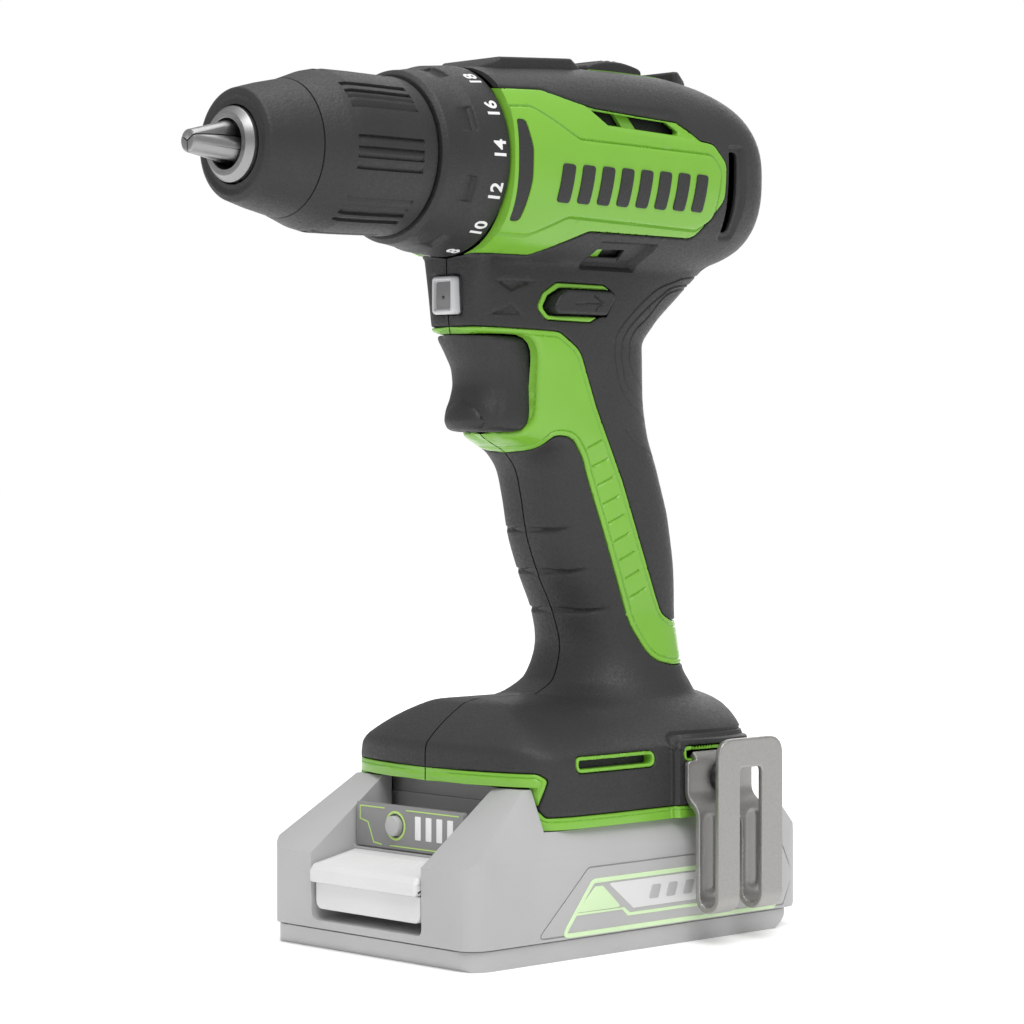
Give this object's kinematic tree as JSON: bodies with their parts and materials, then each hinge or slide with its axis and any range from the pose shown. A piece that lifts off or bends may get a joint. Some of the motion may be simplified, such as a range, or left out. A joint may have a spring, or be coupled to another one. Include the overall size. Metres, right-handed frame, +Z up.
{
  "type": "cordless drill",
  "caption": "Pistol-grip cordless drill driver with keyless chuck, numbered torque collar, two-speed planetary gearbox, sprung trigger, side belt clip and slide-on battery pack.",
  "frame": {"origin": "middle of the battery's flat underside, on the surface the drill stands on", "axes": "+Z up; the chuck points to -X; the tool's left side, with the belt clip, is -Y"},
  "size_m": [0.1887, 0.0899, 0.23],
  "materials": {
    "green_plastic": "smooth satin moulding",
    "black_rubber": "fine moulded texture",
    "black_nylon": "fine texture, glass-filled",
    "bright_steel": "brushed",
    "gear_steel": "sintered, oiled",
    "dark_steel": "black oxide",
    "cast_zinc": "die cast",
    "copper_windings": "enamelled wire",
    "commutator_brass": "turned",
    "fan_plastic": "moulded",
    "clear_lens": "clear, polished",
    "pale_plastic": "fine texture",
    "light_plastic": "fine texture",
    "cell_sleeve": "shrink sleeve",
    "circuit_board": "solder mask"
  },
  "bodies": {
    "housing": {"housing_left": "green_plastic", "housing_right": "green_plastic", "upper_overmould_left": "black_rubber", "upper_overmould_right": "black_rubber", "lower_overmould_left": "black_rubber", "lower_overmould_right": "black_rubber", "housing_screw_1": "dark_steel", "housing_screw_2": "dark_steel", "housing_screw_3": "dark_steel", "housing_screw_4": "dark_steel", "housing_screw_5": "dark_steel", "gearbox_housing": "cast_zinc", "fixed_ring_gear": "gear_steel", "spindle_bearing": "bright_steel", "motor_plate": "dark_steel", "motor_can": "dark_steel", "motor_end_cap": "black_nylon", "clutch_spring": "dark_steel", "switch_module": "black_nylon", "lamp_lens": "clear_lens", "terminal_block": "black_nylon", "belt_clip": "bright_steel", "belt_clip_screw": "dark_steel"},
    "motor_armature": {"motor_rotor": "copper_windings", "commutator": "commutator_brass", "motor_shaft": "bright_steel", "motor_fan": "fan_plastic"},
    "first_carrier": {"first_carrier": "gear_steel"},
    "spindle": {"spindle": "bright_steel", "chuck_body": "bright_steel", "chuck_screw": "dark_steel"},
    "chuck_sleeve": {"chuck_sleeve": "black_nylon", "chuck_nose_cap": "black_nylon", "jaw_nut": "dark_steel"},
    "torque_collar": {"torque_collar": "black_nylon"},
    "spring_plate": {"spring_plate": "dark_steel"},
    "speed_selector": {"speed_selector": "black_nylon"},
    "shift_ring": {"shift_ring_gear": "gear_steel"},
    "trigger": {"trigger": "black_nylon"},
    "direction_button": {"direction_button": "black_nylon"},
    "battery": {"battery_top_case": "pale_plastic", "battery_bottom_case": "pale_plastic", "battery_board": "circuit_board", "gauge_panel": "black_nylon", "cell_1": "cell_sleeve", "cell_2": "cell_sleeve", "cell_3": "cell_sleeve", "cell_4": "cell_sleeve", "cell_5": "cell_sleeve"},
    "release_button": {"battery_release_button": "light_plastic"},
    "gauge_button": {"gauge_button": "pale_plastic"},
    "first_planet_1": {"first_planet_1": "gear_steel"},
    "second_planet_1": {"second_planet_1": "gear_steel"},
    "jaw_1": {"chuck_jaw_1": "bright_steel"},
    "first_planet_2": {"first_planet_2": "gear_steel"},
    "second_planet_2": {"second_planet_2": "gear_steel"},
    "jaw_2": {"chuck_jaw_2": "bright_steel"},
    "first_planet_3": {"first_planet_3": "gear_steel"},
    "second_planet_3": {"second_planet_3": "gear_steel"},
    "jaw_3": {"chuck_jaw_3": "bright_steel"}
  },
  "joints": [
    {"name": "motor_spin", "type": "hinge", "parent": "housing", "child": "motor_armature", "pos_m": [0, 0, 0.2003], "axis": [1, 0, 0], "continuous": true},
    {"name": "first_carrier_spin", "type": "hinge", "parent": "housing", "child": "first_carrier", "pos_m": [0, 0, 0.2003], "axis": [1, 0, 0], "continuous": true},
    {"name": "spindle_spin", "type": "hinge", "parent": "housing", "child": "spindle", "pos_m": [0, 0, 0.2003], "axis": [1, 0, 0], "continuous": true},
    {"name": "first_planet_1_spin", "type": "hinge", "parent": "first_carrier", "child": "first_planet_1", "pos_m": [0, 0.0108, 0.2003], "axis": [1, 0, 0], "continuous": true},
    {"name": "second_planet_1_spin", "type": "hinge", "parent": "spindle", "child": "second_planet_1", "pos_m": [0, 0.0108, 0.2003], "axis": [1, 0, 0], "continuous": true},
    {"name": "first_planet_2_spin", "type": "hinge", "parent": "first_carrier", "child": "first_planet_2", "pos_m": [0, -0.0054, 0.20965], "axis": [1, 0, 0], "continuous": true},
    {"name": "second_planet_2_spin", "type": "hinge", "parent": "spindle", "child": "second_planet_2", "pos_m": [0, -0.0054, 0.20965], "axis": [1, 0, 0], "continuous": true},
    {"name": "first_planet_3_spin", "type": "hinge", "parent": "first_carrier", "child": "first_planet_3", "pos_m": [0, -0.0054, 0.19095], "axis": [1, 0, 0], "continuous": true},
    {"name": "second_planet_3_spin", "type": "hinge", "parent": "spindle", "child": "second_planet_3", "pos_m": [0, -0.0054, 0.19095], "axis": [1, 0, 0], "continuous": true},
    {"name": "chuck_sleeve_turn", "type": "hinge", "parent": "spindle", "child": "chuck_sleeve", "pos_m": [0, 0, 0.2003], "axis": [-1, 0, 0], "range_deg": [0, 3600]},
    {"name": "jaw_1_slide", "type": "slide", "parent": "spindle", "child": "jaw_1", "axis": [0.9703, 0, 0.2419], "range_m": [0, 0.0205]},
    {"name": "jaw_2_slide", "type": "slide", "parent": "spindle", "child": "jaw_2", "axis": [0.9703, -0.2095, -0.121], "range_m": [0, 0.0205]},
    {"name": "jaw_3_slide", "type": "slide", "parent": "spindle", "child": "jaw_3", "axis": [0.9703, 0.2095, -0.121], "range_m": [0, 0.0205]},
    {"name": "torque_collar_turn", "type": "hinge", "parent": "housing", "child": "torque_collar", "pos_m": [0, 0, 0.2003], "axis": [-1, 0, 0], "range_deg": [0, 231]},
    {"name": "spring_plate_slide", "type": "slide", "parent": "housing", "child": "spring_plate", "axis": [-1, 0, 0], "range_m": [0, 0.0019], "deforming": ["clutch_spring"]},
    {"name": "speed_selector_slide", "type": "slide", "parent": "housing", "child": "speed_selector", "axis": [1, 0, 0], "range_m": [0, 0.008]},
    {"name": "shift_ring_slide", "type": "slide", "parent": "housing", "child": "shift_ring", "axis": [1, 0, 0], "range_m": [0, 0.0025]},
    {"name": "trigger_pull", "type": "slide", "parent": "housing", "child": "trigger", "axis": [1, 0, 0], "range_m": [0, 0.0062], "stiffness_N_per_m": 700, "springref_m": -0.004},
    {"name": "direction_slide", "type": "slide", "parent": "housing", "child": "direction_button", "axis": [0, 1, 0], "range_m": [-0.0025, 0.0025]},
    {"name": "battery_slide", "type": "slide", "parent": "housing", "child": "battery", "axis": [-1, 0, 0], "range_m": [0, 0.08]},
    {"name": "battery_release_press", "type": "slide", "parent": "battery", "child": "release_button", "axis": [0, 0, -1], "range_m": [0, 0.0025], "stiffness_N_per_m": 900, "springref_m": -0.002},
    {"name": "gauge_button_press", "type": "slide", "parent": "battery", "child": "gauge_button", "axis": [1, 0, 0], "range_m": [0, 0.0008], "stiffness_N_per_m": 600, "springref_m": -0.001}
  ],
  "couplings": [
    {"joint": "first_carrier_spin", "follows": "motor_spin", "ratio": 0.25},
    {"joint": "spindle_spin", "follows": "motor_spin", "ratio": 0.0625},
    {"joint": "first_planet_1_spin", "follows": "motor_spin", "ratio": -0.75},
    {"joint": "second_planet_1_spin", "follows": "motor_spin", "ratio": -0.1875},
    {"joint": "first_planet_2_spin", "follows": "motor_spin", "ratio": -0.75},
    {"joint": "second_planet_2_spin", "follows": "motor_spin", "ratio": -0.1875},
    {"joint": "first_planet_3_spin", "follows": "motor_spin", "ratio": -0.75},
    {"joint": "second_planet_3_spin", "follows": "motor_spin", "ratio": -0.1875},
    {"joint": "jaw_1_slide", "follows": "chuck_sleeve_turn", "m_per_rad": 0.00031831},
    {"joint": "jaw_2_slide", "follows": "chuck_sleeve_turn", "m_per_rad": 0.00031831},
    {"joint": "jaw_3_slide", "follows": "chuck_sleeve_turn", "m_per_rad": 0.00031831},
    {"joint": "spring_plate_slide", "follows": "torque_collar_turn", "m_per_rad": 0.00044646},
    {"joint": "shift_ring_slide", "follows": "speed_selector_slide", "ratio": 0.3}
  ]
}
